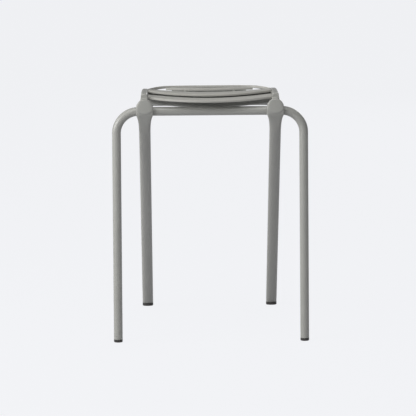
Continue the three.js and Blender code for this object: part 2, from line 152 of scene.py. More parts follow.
def powder_coat(name, colour, shade, roughness):
    """Powder-coated steel, whose tone drifts between two hex colours."""
    material, tree = empty_material(name)
    where = add_node(tree, "ShaderNodeTexCoord").outputs["Object"]
    tone = add_node(
        tree, "ShaderNodeTexNoise", Vector=where, Scale=1 / (TONE_MM * MM), Detail=3.0,
        Roughness=0.6,
    )
    mixed = add_node(
        tree, "ShaderNodeMix", {"data_type": "RGBA"},
        i0=tone.outputs["Fac"], i6=linear(shade), i7=linear(colour),
    )
    pebbles = add_node(
        tree, "ShaderNodeTexNoise", Vector=where, Scale=1 / (PEBBLE_MM * MM), Detail=2.0
    )
    gloss = add_node(
        tree, "ShaderNodeMapRange", Value=pebbles.outputs["Fac"],
        To_Min=roughness - SMOOTHER, To_Max=roughness + ROUGHER,
    )
    bump = add_node(
        tree, "ShaderNodeBump", Height=pebbles.outputs["Fac"], Distance=PEBBLE_DEPTH_MM * MM,
        Strength=PEBBLE_STRENGTH,
    )
    shader = add_node(
        tree, "ShaderNodeBsdfPrincipled", Base_Color=mixed.outputs[2],
        Roughness=gloss.outputs["Result"], Normal=bump.outputs["Normal"], IOR=COAT_IOR,
        Metallic=0.0,
    )
    add_node(tree, "ShaderNodeOutputMaterial", Surface=shader.outputs["BSDF"])
    return material


# Each coat's colour, its darker tone and its roughness are matched to the object
frame_coat = powder_coat("powder_coated_tube", "#989893", "#90908B", 0.33)
seat_coat = powder_coat("powder_coated_sheet", "#A2A19B", "#9A9993", 0.58)
print("coats:", frame_coat.name, "and", seat_coat.name)

# %% [markdown]
# The feet and the plugs in the rails are injection-moulded polyethylene, dyed through. Its skin
# is a dull, faintly waxy black with a fine moulded grain, greyer where it rubs on the floor. A
# map over the height paints the rubbed rim, which only the feet reach.

# %% Moulded plastic
GRAIN_MM = 0.9  # The real grain is about 0.2 mm, and is drawn coarser so that it shows
GRAIN_DEPTH_MM, GRAIN_STRENGTH = 0.1, 0.4
RUB_HEIGHT_MM, RUB_SHARE = 1.6, 0.5
PLASTIC_IOR, PLASTIC_ROUGHNESS = 1.51, 0.55


def moulded_plastic(name, colour, worn):
    """Black moulded plastic, rubbed paler towards the floor."""
    material, tree = empty_material(name)
    where = add_node(tree, "ShaderNodeTexCoord").outputs["Object"]
    height = add_node(tree, "ShaderNodeSeparateXYZ", Vector=where).outputs["Z"]
    rub = add_node(
        tree, "ShaderNodeMapRange", Value=height, From_Min=0.0, From_Max=RUB_HEIGHT_MM * MM,
        To_Min=RUB_SHARE, To_Max=0.0,
    )
    grain = add_node(
        tree, "ShaderNodeTexNoise", Vector=where, Scale=1 / (GRAIN_MM * MM), Detail=3.0
    )
    mixed = add_node(
        tree, "ShaderNodeMix", {"data_type": "RGBA"},
        i0=rub.outputs["Result"], i6=linear(colour), i7=linear(worn),
    )
    bump = add_node(
        tree, "ShaderNodeBump", Height=grain.outputs["Fac"], Distance=GRAIN_DEPTH_MM * MM,
        Strength=GRAIN_STRENGTH,
    )
    shader = add_node(
        tree, "ShaderNodeBsdfPrincipled", Base_Color=mixed.outputs[2],
        Roughness=PLASTIC_ROUGHNESS, Normal=bump.outputs["Normal"], IOR=PLASTIC_IOR, Metallic=0.0,
    )
    add_node(tree, "ShaderNodeOutputMaterial", Surface=shader.outputs["BSDF"])
    return material


foot_plastic = moulded_plastic("moulded_black_plastic", "#2A2826", "#4A4744")
print("plastic:", foot_plastic.name)

# %% [markdown]
# A finished piece is one mesh at the origin. It rides on the stool's only body, stands for its
# solid, and takes its finish as a material. Faces that meet at a flat angle are shaded smooth and
# real edges stay sharp, which keeps tubes round and their cut ends crisp.

# %% Finishing a piece
SHARP_FROM = math.radians(38)


def finish_piece(piece, material, *solids):
    mesh = piece.data
    if not mesh.materials:
        mesh.materials.append(material)
    mesh.shade_smooth()
    mesh.set_sharp_from_angle(angle=SHARP_FROM)
    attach(piece, "root")
    if solids:
        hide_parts(*solids)
    return piece


# %% [markdown]
# Three helpers carry a mesh from its points to a finished piece: one makes the object, one closes
# its open ends and turns its faces outwards, and one turns its modifiers into a plain mesh.

# %% Mesh helpers


def new_object(name, points, edges, faces):
    """An object at the origin, from points in metres."""
    mesh = bpy.data.meshes.new(name)
    mesh.from_pydata(points, edges, faces)
    piece = bpy.data.objects.new(name, mesh)
    bpy.context.scene.collection.objects.link(piece)
    return piece


def closed(piece):
    """Closes a piece's open ends and turns its faces outwards."""
    shape = bmesh.new()
    shape.from_mesh(piece.data)
    bmesh.ops.holes_fill(shape, edges=[e for e in shape.edges if e.is_boundary])
    bmesh.ops.recalc_face_normals(shape, faces=shape.faces)
    shape.to_mesh(piece.data)
    shape.free()
    return piece


def baked(piece):
    """Turns a piece's modifiers into a plain mesh."""
    bpy.context.view_layer.update()
    graph = bpy.context.evaluated_depsgraph_get()
    mesh = bpy.data.meshes.new_from_object(piece.evaluated_get(graph), depsgraph=graph)
    piece.modifiers.clear()
    piece.data = mesh
    mesh.name = piece.name
    return piece


# %% [markdown]
# Tubes, pressed sheet and weld seams each follow one rule, so a Geometry Nodes tree makes each
# kind. A tree takes a plain mesh and named inputs for its sizes, and ends with real geometry that
# has its finish. Once a tree has run on a piece, its result is kept and the tree comes off.

# %% Geometry tree helpers
NUMBER, FINISH = "NodeSocketFloat", "NodeSocketMaterial"


def new_tree(name, labels):
    """Makes a tree that takes a mesh, a number for each label and a coat, and lists its inputs."""
    tree = bpy.data.node_groups.new(name, "GeometryNodeTree")
    tree.interface.new_socket("Geometry", in_out="INPUT", socket_type="NodeSocketGeometry")
    for label in labels:
        tree.interface.new_socket(label, in_out="INPUT", socket_type=NUMBER)
    tree.interface.new_socket("Coat", in_out="INPUT", socket_type=FINISH)
    tree.interface.new_socket("Geometry", in_out="OUTPUT", socket_type="NodeSocketGeometry")
    return tree, add_node(tree, "NodeGroupInput").outputs


def end_tree(tree, geometry, coat):
    """Ends a tree with real geometry in its finish."""
    real = add_node(tree, "GeometryNodeRealizeInstances", Geometry=geometry)
    coated = add_node(tree, "GeometryNodeSetMaterial", Geometry=real.outputs[0], Material=coat)
    add_node(tree, "NodeGroupOutput", Geometry=coated.outputs[0])
    print(tree.name, "tree:", len(tree.nodes), "nodes")


def run_tree(piece, tree, values):
    """Runs a tree on a piece, with its inputs set by name, and keeps the plain mesh."""
    modifier = piece.modifiers.new(tree.name, "NODES")
    modifier.node_group = tree
    for item in tree.interface.items_tree:
        if item.in_out == "INPUT" and item.name in values:
            modifier[item.identifier] = values[item.name]
    return baked(piece)


# %% [markdown]
# The hoop and the rear bar are round tube bent on a former. The tree makes them the way a bender
# does: a path of straight runs, a fillet of the former's radius at each corner, and a round
# section swept along it. One tree serves both, with the radii as its inputs.

# %% A tree that bends tube
ROUND = 56  # Points round a tube
FILLET_STEPS = 28

tube_tree, given = new_tree("bent_tube", ["Radius", "Bend radius"])
path = add_node(tube_tree, "GeometryNodeMeshToCurve", Mesh=given["Geometry"])
bent = add_node(
    tube_tree, "GeometryNodeFilletCurve", {"mode": "POLY"}, Curve=path.outputs[0],
    Radius=given["Bend radius"], Count=FILLET_STEPS,
)
section = add_node(
    tube_tree, "GeometryNodeCurvePrimitiveCircle", Resolution=ROUND, Radius=given["Radius"]
)
swept = add_node(
    tube_tree, "GeometryNodeCurveToMesh", Curve=bent.outputs[0],
    Profile_Curve=section.outputs["Curve"], Fill_Caps=True,
)
end_tree(tube_tree, swept.outputs[0], given["Coat"])

# %% [markdown]
# The hoop is two legs and the crossbar in one length of tube. Its legs spread a little towards
# the floor. The rear bar is a straight length of the same tube between the rails' back ends, and
# its place comes from its solid's box.

# %% Hoop and rear bar
HOOP_TOP, HOOP_FOOT, HOOP_BEND = 338, 341, 40


def bent_tube(name, corners, radius, solid, bend_radius=0.0):
    """A tube through corners in metres, with its radii in millimetres."""
    piece = new_object(name, corners, [(i, i + 1) for i in range(len(corners) - 1)], [])
    sizes = {"Radius": radius * MM, "Bend radius": bend_radius * MM}
    run_tree(piece, tube_tree, {**sizes, "Coat": frame_coat})
    return finish_piece(piece, frame_coat, solid)


hoop_foot = hoop_low.z / MM
hoop_corners = [
    place(-HOOP_FOOT / 2, 0, hoop_foot),
    place(-HOOP_TOP / 2, 0, BAR_HEIGHT),
    place(HOOP_TOP / 2, 0, BAR_HEIGHT),
    place(HOOP_FOOT / 2, 0, hoop_foot),
]
hoop = bent_tube("hoop_tube", hoop_corners, TUBE_RADIUS, "front_hoop", HOOP_BEND)

rear_low, rear_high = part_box("rear_crossbar")
rear_middle = (rear_low + rear_high) / 2
rear_ends = [Vector((x, rear_middle.y, rear_middle.z)) for x in (rear_low.x, rear_high.x)]
rear_radius = (rear_high.z - rear_low.z) / 2
rear_bar = bent_tube("rear_bar_tube", rear_ends, rear_radius / MM, "rear_crossbar")
print(f"hoop: {len(hoop.data.polygons)} faces, rear bar: {len(rear_bar.data.polygons)} faces")

# %% [markdown]
# The legs and rails aren't round, and the legs change their section on the way, so they are
# lofted: rings of points follow the piece, and faces join ring to ring. Each ring is an oval with
# a fullness, which is 1 for an ellipse and makes it squarer as it falls. A quarter round gives an
# end its rounded edge, as pairs of how far a ring lies from the end and how far it is inset.

# %% Lofts
RIM_STEPS = 4


def mix(a, b, share):
    return a + (b - a) * share


def oval(centre, half_width, half_thickness, tilt, fullness):
    """A ring in millimetres: its width along X, its thickness along tilt in the YZ plane."""
    x, y, z = centre
    ring = []
    for i in range(ROUND):
        c = math.cos(i / ROUND * math.tau)
        s = math.sin(i / ROUND * math.tau)
        across = math.copysign(abs(c) ** fullness, c) * half_width
        through = math.copysign(abs(s) ** fullness, s) * half_thickness
        ring.append((x + across, y + through * tilt[0], z + through * tilt[1]))
    return ring


def quarter_round(radius, steps=RIM_STEPS):
    """Steps of (run from the end, inset), from the end's flat to the full size."""
    turns = [i / steps * math.pi / 2 for i in range(steps + 1)]
    return [(radius * (1 - math.cos(t)), radius * (1 - math.sin(t))) for t in turns]


def skin(rings, count):
    """Faces that join a number of rings, each of count points."""
    faces = []
    for i in range(rings - 1):
        for j in range(count):
            a, b = i * count + j, i * count + (j + 1) % count
            faces.append((a, b, b + count, a + count))
    return faces


def loft(name, rings, material, solid):
    """A closed piece through rings of points in millimetres."""
    points = [place(*p) for ring in rings for p in ring]
    faces = skin(len(rings), ROUND)
    faces += [tuple(range(ROUND)), tuple(range(len(points) - ROUND, len(points)))]
    return finish_piece(closed(new_object(name, points, [], faces)), material, solid)


# %% [markdown]
# The rear legs are oval tube whose upper end was pressed flat into a spoon-shaped head, which
# lies against the crossbar's front. Two tables of shares shape them: how wide the head is from
# the bar up to its tip, and how far the neck has gone from head to leg. A cubic curve through a
# table's rows keeps the outline free of corners, which straight lines between them would show.

# %% Smooth tables
HEAD_SHARES = [(0, 1), (0.25, 1), (0.5, 0.95), (0.61, 0.88), (0.72, 0.77), (0.84, 0.62), (1, 0.34)]
NECK_SHARES = [(0, 0), (0.06, 0.05), (0.18, 0.43), (0.32, 0.68), (0.5, 0.87), (0.75, 0.97), (1, 1)]


def smooth(share):
    """Eases a share in and out, and keeps it between 0 and 1."""
    share = min(max(share, 0), 1)
    return share * share * (3 - 2 * share)


def read_shares(table, at):
    """A smooth value between the rows of a table whose first column rises."""
    keys = [row[0] for row in table]
    at = min(max(at, keys[0]), keys[-1])
    i = max(j for j in range(len(keys) - 1) if keys[j] <= at)
    step = keys[i + 1] - keys[i]
    t = (at - keys[i]) / step

    def slope(j):
        if j in (0, len(keys) - 1):
            return 0
        return (table[j + 1][1] - table[j - 1][1]) / (keys[j + 1] - keys[j - 1])

    a, b = table[i][1], table[i + 1][1]
    return (
        (2 * t**3 - 3 * t**2 + 1) * a + (t**3 - 2 * t**2 + t) * step * slope(i)
        + (3 * t**2 - 2 * t**3) * b + (t**3 - t**2) * step * slope(i + 1)
    )


print("the head's width half way up, as a share:", round(read_shares(HEAD_SHARES, 0.5), 2))

# %% [markdown]
# A leg hugs the crossbar with its inner face, first in front and then round the underside, and
# runs straight from there to its foot. So its rings are placed by how far they have run down that
# face: upright above the bar's axis, round the bar below it, and along a straight line once the
# leg has turned as far as it leans.

# %% The way of a rear leg
HEAD_SPACING, HEAD_WIDTH, HEAD_RISE, HEAD_THICKNESS, HEAD_FULLNESS = 235.6, 31, 23.3, 7.6, 0.5
NECK, LEG_WIDTH, LEG_THICKNESS, LEG_FULLNESS = 50, 20.8, 12.4, 0.9
FOOT_SPACING, FOOT_REACH, FOOT_HEIGHT = 243.6, 362, 6.0
# The press leaves a crease across the head's outer side, lowest in the middle: the face drops
# at once under the head, and comes back slowly down the neck
CREASE_DEPTH, CREASE_DROP, CREASE_FADE, CREASE_LOW, CREASE_RISE = 1.3, 1.3, 14, 3.6, 5

WRAP = TUBE_RADIUS + TOUCH
fall = BAR_HEIGHT - FOOT_HEIGHT
circle = WRAP + LEG_THICKNESS / 2
straight = math.sqrt(FOOT_REACH**2 + fall**2 - circle**2)
LEAN = math.atan(FOOT_REACH / fall) + math.atan(circle / straight)


def leg_x(side, z):
    """Where a leg's middle lies at a height. The legs spread from their heads to their feet."""
    share = max((BAR_HEIGHT - z) / fall, 0)
    return side * mix(HEAD_SPACING, FOOT_SPACING, share) / 2


def leg_ring(side, run, width, thickness, fullness):
    """A ring at a run down the leg's inner face, counted from the crossbar's axis height."""
    angle = min(max(run / WRAP, 0), LEAN)
    past = run if run < 0 else max(run - WRAP * LEAN, 0)
    out = (-math.cos(angle), -math.sin(angle))
    reach = WRAP + thickness / 2
    y = out[0] * reach + past * math.sin(angle)
    z = BAR_HEIGHT + out[1] * reach - past * math.cos(angle)
    middle = leg_x(side, z)
    creased = []
    for i, (px, py, pz) in enumerate(oval((middle, y, z), width / 2, thickness / 2, out, fullness)):
        outer = math.sqrt(max(math.sin(i / ROUND * math.tau), 0))
        line = CREASE_LOW - CREASE_RISE * ((px - middle) / (width / 2)) ** 2
        spread = CREASE_DROP if run < line else CREASE_FADE
        depth = CREASE_DEPTH * outer * math.exp(-(((run - line) / spread) ** 2))
        creased.append((px, py - out[0] * depth, pz - out[1] * depth))
    return creased


def leg_cut(side, z, inset):
    """A level ring where the leg is sawn for its foot."""
    back = (z - FOOT_HEIGHT) * math.tan(LEAN)
    half_length = (LEG_THICKNESS / 2 - inset) / math.cos(LEAN)
    centre = (leg_x(side, z), FOOT_REACH - back, z)
    return oval(centre, LEG_WIDTH / 2 - inset, half_length, (-1, 0), LEG_FULLNESS)


print(f"rear legs lean {math.degrees(LEAN):.1f} degrees from upright")

# %% [markdown]
# The head takes close rings for its rounded outline, and its upper edge thins out where the
# press squeezed it. The neck takes more, because the crease lies in it. Below the neck the leg
# doesn't change, so one last ring, level with the floor, is enough.

# %% Rear legs
HEAD_STEPS, NECK_STEPS = 36, 80
EDGE_START, EDGE_THINNING = 0.93, 0.45  # As shares of the head's rise and of its thickness


def rear_leg(name, side, solid):
    rings = []
    for i in range(HEAD_STEPS + 1):
        rise = 1 - i / HEAD_STEPS
        width = HEAD_WIDTH * read_shares(HEAD_SHARES, rise)
        edge = 1 - EDGE_THINNING * smooth((rise - EDGE_START) / (1 - EDGE_START))
        thickness = HEAD_THICKNESS * edge
        rings.append(leg_ring(side, -rise * HEAD_RISE, width, thickness, HEAD_FULLNESS))
    for i in range(1, NECK_STEPS + 1):
        run = NECK * i / NECK_STEPS
        swell = smooth(run / NECK)
        width = mix(HEAD_WIDTH, LEG_WIDTH, read_shares(NECK_SHARES, run / NECK))
        thickness = mix(HEAD_THICKNESS, LEG_THICKNESS, swell)
        fullness = mix(HEAD_FULLNESS, LEG_FULLNESS, swell)
        rings.append(leg_ring(side, run, width, thickness, fullness))
    rings.append(leg_cut(side, FOOT_HEIGHT, 0))
    return loft(name, rings, frame_coat, solid)


for side_name, side in SIDES:
    leg = rear_leg(f"rear_leg_tube_{side_name}", side, f"rear_leg_{side_name}")
print("rear leg:", len(leg.data.polygons), "faces")

# %% [markdown]
# Each side rail is a narrow flat-sided tube on edge. It starts over the crossbar, rises to a low
# crown, sinks towards the back and turns down to meet the rear bar. Its top is part of a large
# circle, and its rings stand square to that.

# %% The way of a rail
RAIL_SPACING, RAIL_WIDTH, RAIL_HEIGHT, RAIL_FULLNESS = 237, 12, 16, 0.5
RAIL_CROWN, RAIL_CROWN_REACH, RAIL_ARCH = BAR_HEIGHT + TUBE_RADIUS + 25, 35, 1040
BEND_REACH, BEND_RADIUS, TAIL = 198, 14, 12.5


def rail_top(y):
    return RAIL_CROWN - RAIL_ARCH + math.sqrt(RAIL_ARCH**2 - (y - RAIL_CROWN_REACH) ** 2)


def rail_tilt(y):
    slope = math.asin((y - RAIL_CROWN_REACH) / RAIL_ARCH)
    return (math.sin(slope), math.cos(slope))


def rail_ring(side, y, width=RAIL_WIDTH, height=RAIL_HEIGHT, inset=0):
    """A ring of a rail or its nose, which rests on the rail's arched underside."""
    centre = (side * RAIL_SPACING / 2, y, rail_top(y) - RAIL_HEIGHT + height / 2)
    return oval(centre, width / 2 - inset, height / 2 - inset, rail_tilt(y), RAIL_FULLNESS)


bend_tilt = rail_tilt(BEND_REACH)
tail_y = BEND_REACH - bend_tilt[0] * BEND_RADIUS + BEND_RADIUS
tail_z = rail_top(BEND_REACH) - RAIL_HEIGHT / 2 - bend_tilt[1] * BEND_RADIUS
print(f"rails: crown at {RAIL_CROWN:.1f} mm, tail {tail_y:.1f} mm behind the crossbar")

# %% [markdown]
# A plug closes a rail's front end. Its nose has a low, slightly wider lip in front, and behind
# the lip a shoulder rises to the rail's full height. Rail and nose are rounded where they meet,
# which leaves a fine dark groove, as between two real pieces.

# %% Rails and their noses
RIM = 0.8
LIP_WIDTH, LIP_HEIGHT, LIP_ROUND, LIP_STEPS = 13.6, 9, 1.8, 6
# The shoulder's place behind the nose's front, its lean, its height where its edge begins to
# round, and how far the rounding runs
SHOULDER, SHOULDER_LEAN, SHOULDER_HEIGHT, SHOULDER_ROUND = 4, 0.2, 13.9, 1.8
RAIL_STEPS, TURN_STEPS = 30, 16


def side_rail(name, side, solid):
    rings = [rail_ring(side, TOUCH + run, inset=inset) for run, inset in quarter_round(RIM)]
    for i in range(1, RAIL_STEPS + 1):
        rings.append(rail_ring(side, mix(TOUCH + RIM, BEND_REACH, i / RAIL_STEPS)))
    x = side * RAIL_SPACING / 2
    start = math.asin(bend_tilt[0])
    for i in range(1, TURN_STEPS + 1):
        angle = mix(start, math.pi / 2, i / TURN_STEPS)
        tilt = (math.sin(angle), math.cos(angle))
        centre = (x, tail_y - BEND_RADIUS + tilt[0] * BEND_RADIUS, tail_z + tilt[1] * BEND_RADIUS)
        rings.append(oval(centre, RAIL_WIDTH / 2, RAIL_HEIGHT / 2, tilt, RAIL_FULLNESS))
    foot = (x, tail_y, tail_z - TAIL)
    rings.append(oval(foot, RAIL_WIDTH / 2, RAIL_HEIGHT / 2, (1, 0), RAIL_FULLNESS))
    return loft(name, rings, frame_coat, solid)


def rail_nose(name, side, solid):
    rings = []
    for run, inset in quarter_round(LIP_ROUND, LIP_STEPS) + [(SHOULDER, 0)]:
        rings.append(rail_ring(side, run - TUBE_RADIUS, LIP_WIDTH, LIP_HEIGHT, inset))
    for run, inset in quarter_round(SHOULDER_ROUND):
        height = mix(RAIL_HEIGHT, SHOULDER_HEIGHT, inset / SHOULDER_ROUND)
        y = SHOULDER + SHOULDER_LEAN + run - TUBE_RADIUS
        rings.append(rail_ring(side, y, height=height))
    rings += [rail_ring(side, -run, inset=inset) for run, inset in reversed(quarter_round(RIM))]
    return loft(name, rings, frame_coat, solid)


# %% [markdown]
# A plastic plug closes the rail's back end and each leg's foot. Such a plug is a stack of level
# rings, with a rounded lower rim, and a thinner stem above that sticks in the tube. The rail with
# its nose and its plug is made here for each side.

# %% Plugs, and the finished rails
CAP_EDGE, CAP_HEIGHT, CAP_STEM, CAP_INSET = 1.2, 3, 9, 1.8


def plug(x, y, half_width, half_length, fullness, edge, levels):
    """Level rings of a plug with a rounded lower rim. Each level is (z, inset)."""
    rings = []
    for drop, shrink in quarter_round(edge):
        sizes = (half_width - shrink, half_length - shrink)
        rings.append(oval((x, y, levels[0][0] + drop), *sizes, (1, 0), fullness))
    for z, inset in levels[1:]:
        rings.append(oval((x, y, z), half_width - inset, half_length - inset, (1, 0), fullness))
    return rings


top = tail_z - TAIL - TOUCH
cap_levels = [(top - CAP_HEIGHT, 0), (top, 0), (top, CAP_INSET), (top + CAP_STEM, CAP_INSET)]
for side_name, side in SIDES:
    rail = side_rail(f"side_rail_tube_{side_name}", side, f"side_rail_{side_name}")
    nose = rail_nose(f"rail_nose_plug_{side_name}", side, f"rail_nose_{side_name}")
    rings = plug(
        side * RAIL_SPACING / 2, tail_y, RAIL_WIDTH / 2, RAIL_HEIGHT / 2, RAIL_FULLNESS, CAP_EDGE,
        cap_levels,
    )
    loft(f"rail_plug_{side_name}", rings, foot_plastic, f"rail_cap_{side_name}")
print(f"rail: {len(rail.data.polygons)} faces, nose: {len(nose.data.polygons)} faces")

# %% [markdown]
# A saddle is a small forged block between the crossbar and a rail, hollowed to fit the round
# bar. Its outline is drawn from the side and given its width, and a Bevel modifier breaks the
# sharp edges, as the coat does on the real one.

# %% Saddles
SADDLE_FRONT, SADDLE_BACK, SADDLE_WIDTH, SADDLE_STEPS = -4, 7, 10, 12
BROKEN_EDGE, BROKEN_STEPS = 0.6, 2


def saddle(name, side, solid):
    ys = [mix(SADDLE_FRONT, SADDLE_BACK, i / SADDLE_STEPS) for i in range(SADDLE_STEPS + 1)]
    outline = [(y, BAR_HEIGHT + math.sqrt(WRAP**2 - y * y)) for y in ys]
    outline += [(y, rail_top(y) - RAIL_HEIGHT - TOUCH) for y in reversed(ys)]
    x, count = side * RAIL_SPACING / 2, len(outline)
    points = [place(x + end * SADDLE_WIDTH / 2, y, z) for end in (-1, 1) for y, z in outline]
    faces = skin(2, count) + [tuple(range(count)), tuple(range(count, 2 * count))]
    piece = closed(new_object(name, points, [], faces))
    bevel = piece.modifiers.new("edges", "BEVEL")
    bevel.width = BROKEN_EDGE * MM
    bevel.segments = BROKEN_STEPS
    bevel.limit_method = "ANGLE"
    return finish_piece(baked(piece), frame_coat, solid)


for side_name, side in SIDES:
    block = saddle(f"saddle_block_{side_name}", side, f"rail_saddle_{side_name}")
print("saddle:", len(block.data.polygons), "faces")

# %% [markdown]
# The five slats are cut and pressed from steel sheet, with their long edges turned down. They
# all follow one rule: each edge bows from its middle to its ends by a power curve, and the top
# sags in the middle and meets the rails' height at the ends. So one tree bends a flat strip to
# that rule, and five sets of inputs make the five slats. The strip holds its own plan: x is the
# share along it, y the share across, z the depth under its top, and an attribute the inset.

# %% A tree that presses a slat
press_inputs = [
    "Half length", "Front middle", "Front end", "Back middle", "Back end", "Front bend",
    "Back bend", "Top middle", "Tilt", "Sag bend", "End drop", "Crown height", "Crown reach",
    "Arch radius", "Bar reach",
]
# Each row is one sum: its name, what it does, and the names or numbers that it takes
press_sums = [
    ("along", "ABSOLUTE", "X"),
    ("front bow", "POWER", "along", "Front bend"),
    ("front run", "SUBTRACT", "Front end", "Front middle"),
    ("front edge", "MULTIPLY_ADD", "front run", "front bow", "Front middle"),
    ("back bow", "POWER", "along", "Back bend"),
    ("back run", "SUBTRACT", "Back end", "Back middle"),
    ("back edge", "MULTIPLY_ADD", "back run", "back bow", "Back middle"),
    ("width", "SUBTRACT", "back edge", "front edge"),
    ("across", "MULTIPLY_ADD", "width", "Y", "front edge"),
    # The top in the slat's middle tilts about its middle line
    ("two middles", "ADD", "Front middle", "Back middle"),
    ("middle line", "MULTIPLY", "two middles", 0.5),
    ("off middle", "SUBTRACT", "across", "middle line"),
    ("tilted top", "MULTIPLY_ADD", "off middle", "Tilt", "Top middle"),
    # The top at the slat's ends follows the rails' arch, with its drop
    ("before the end", "MINIMUM", "across", "Back end"),
    ("past crown", "SUBTRACT", "before the end", "Crown reach"),
    ("past squared", "MULTIPLY", "past crown", "past crown"),
    ("arch squared", "POWER", "Arch radius", 2.0),
    ("chord squared", "SUBTRACT", "arch squared", "past squared"),
    ("chord", "SQRT", "chord squared"),
    ("arch centre", "SUBTRACT", "Crown height", "Arch radius"),
    ("rail top", "ADD", "arch centre", "chord"),
    ("end top", "SUBTRACT", "rail top", "End drop"),
    # From the middle to the ends the top rises by its own power curve
    ("sag bow", "POWER", "along", "Sag bend"),
    ("top rise", "SUBTRACT", "end top", "tilted top"),
    ("top", "MULTIPLY_ADD", "top rise", "sag bow", "tilted top"),
    ("x", "MULTIPLY", "X", "Half length"),
    ("across and inset", "ADD", "across", "inset"),
    ("y", "ADD", "across and inset", "Bar reach"),
    ("z", "SUBTRACT", "top", "Z"),
]
press_tree, given = new_tree("pressed_slat", press_inputs)
strip = add_node(press_tree, "GeometryNodeInputPosition").outputs[0]
plan = add_node(press_tree, "ShaderNodeSeparateXYZ", Vector=strip).outputs
sockets = {label: given[label] for label in press_inputs}
sockets.update({axis: plan[axis] for axis in "XYZ"})
sockets["inset"] = add_node(
    press_tree, "GeometryNodeInputNamedAttribute", Name="inset"
).outputs[0]
for name, operation, *terms in press_sums:
    links = {f"i{i}": sockets.get(term, term) for i, term in enumerate(terms)}
    node = add_node(press_tree, "ShaderNodeMath", {"operation": operation}, **links)
    sockets[name] = node.outputs[0]
pressed_place = add_node(
    press_tree, "ShaderNodeCombineXYZ", X=sockets["x"], Y=sockets["y"], Z=sockets["z"]
)
moved = add_node(
    press_tree, "GeometryNodeSetPosition", Geometry=given["Geometry"],
    Position=pressed_place.outputs[0],
)
end_tree(press_tree, moved.outputs[0], given["Coat"])

# %% [markdown]
# What goes into that tree is a strip with the section of the pressed piece, closed all round:
# the sheet's upper face, a rounded edge down each side, and its underside. The same strip serves
# slats and channels, so its section comes as a list of points.

# %% Pressing a strip
SLAT_DEPTH, SHEET, EDGE, EDGE_STEPS, PAN_STEPS, INNER_CORNER = 4.0, 1.6, 1.5, 6, 12, 0.6
SLAT_STEPS = 120


def pan_profile():
    """A sheet with turned-down edges, as (share across, inset, depth) with sizes in mm."""
    edge = quarter_round(EDGE, EDGE_STEPS)
    shares = [i / PAN_STEPS for i in range(1, PAN_STEPS)]
    outer = [(0, 0, SLAT_DEPTH)] + [(0, run, depth) for run, depth in edge]
    outer += [(share, 0, 0) for share in shares]
    outer += [(1, -run, depth) for run, depth in reversed(edge)] + [(1, 0, SLAT_DEPTH)]
    corner = SHEET + INNER_CORNER
    inner = [(1, -SHEET, SLAT_DEPTH), (1, -SHEET, corner), (1, -corner, SHEET)]
    inner += [(share, 0, SHEET) for share in reversed(shares)]
    inner += [(0, corner, SHEET), (0, SHEET, corner), (0, SHEET, SLAT_DEPTH)]
    return outer + inner


def pressed(name, profile, inputs, solid, reach=1):
    """Presses a strip with a closed profile. Its reach is a share of the half length."""
    points, insets = [], []
    for i in range(SLAT_STEPS + 1):
        # Steps close up towards the ends, where the edges bow the most
        even = mix(-1, 1, i / SLAT_STEPS)
        along = (math.sin(even * math.pi / 2) + even) / 2
        for share, inset, depth in profile:
            points.append((along * reach, share, depth * MM))
            insets.append(inset * MM)
    piece = new_object(name, points, [], skin(SLAT_STEPS + 1, len(profile)))
    piece.data.attributes.new("inset", "FLOAT", "POINT").data.foreach_set("value", insets)
    run_tree(piece, press_tree, inputs)
    piece.data.attributes.remove(piece.data.attributes["inset"])
    return finish_piece(closed(piece), inputs["Coat"], solid)


print("points round a slat's section:", len(pan_profile()))

# %% [markdown]
# The slats stand in a row from front to back, with even gaps. The front and rear ones lie
# lowest, and the centre one is a leaf that ends short of the rails. Each row of the table tells
# one slat, and a loop lays it behind the last.

# %% Slats
SEAT_FRONT, SEAT_CORNER, GAP = -25, 3, 7
SLAT_HALF = (RAIL_SPACING - RAIL_WIDTH) / 2 - TOUCH
# The leaf leaves a space beyond its tips, between the slats before and behind it
LEAF_HALF, LEAF_SPACE = 80, 29
# Name, width and end width, sag under the crown, drop at the ends, tilt, and the three bends
SLATS = [
    ("front", 47, 44, 11.45, 6.5, 0.0, 2.0, 2.0, 2.0),
    ("second", 50, 48, 5.95, 0.5, -0.006, 2.0, 2.0, 2.0),
    ("centre", 73, 14, 3.55, -1.5, -0.078, 2.0, 2.5, 2.0),
    ("fourth", 50, 43, 4.95, 0.3, -0.094, 5.0, 5.0, 6.0),
    ("rear", 47, 43, 10.3, 0.3, -0.094, 5.0, 5.0, 6.0),
]

middle, end = SEAT_FRONT, SEAT_CORNER
slat_inputs, welded_ends = {}, []
for label, width, end_width, sag, drop, tilt, front_bend, back_bend, sag_bend in SLATS:
    leaf = label == "centre"
    if leaf:
        half, front_end = LEAF_HALF, mix(middle, end, (LEAF_HALF / SLAT_HALF) ** 2)
    else:
        half, front_end = SLAT_HALF, end
        welded_ends.append((end, end + end_width, drop))
    slat_inputs[label] = {
        "Half length": half * MM, "Front middle": middle * MM, "Front end": front_end * MM,
        "Back middle": (middle + width) * MM, "Back end": (front_end + end_width) * MM,
        "Front bend": front_bend, "Back bend": back_bend, "Top middle": (RAIL_CROWN - sag) * MM,
        "Tilt": tilt, "Sag bend": sag_bend, "End drop": drop * MM,
        "Crown height": RAIL_CROWN * MM, "Crown reach": RAIL_CROWN_REACH * MM,
        "Arch radius": RAIL_ARCH * MM, "Bar reach": bar_y, "Coat": seat_coat,
    }
    middle += width + GAP
    end += LEAF_SPACE - GAP if leaf else end_width + GAP
    slat = pressed(f"seat_slat_{label}", pan_profile(), slat_inputs[label], f"slat_{label}")
    print(label, "slat:", len(slat.data.polygons), "faces")

# %% [markdown]
# Two channels stiffen the seat from below, one under the gap behind the front slat and a shorter
# one under the gap before the rear slat. They bow with the slats' edges, so the same tree
# presses them: a channel's profile hangs from one edge, and its walls reach up into the slats on
# both sides. Two ribs join the channels. They are flat bars whose solids already have the right
# shape, so they stay and only get the coat.

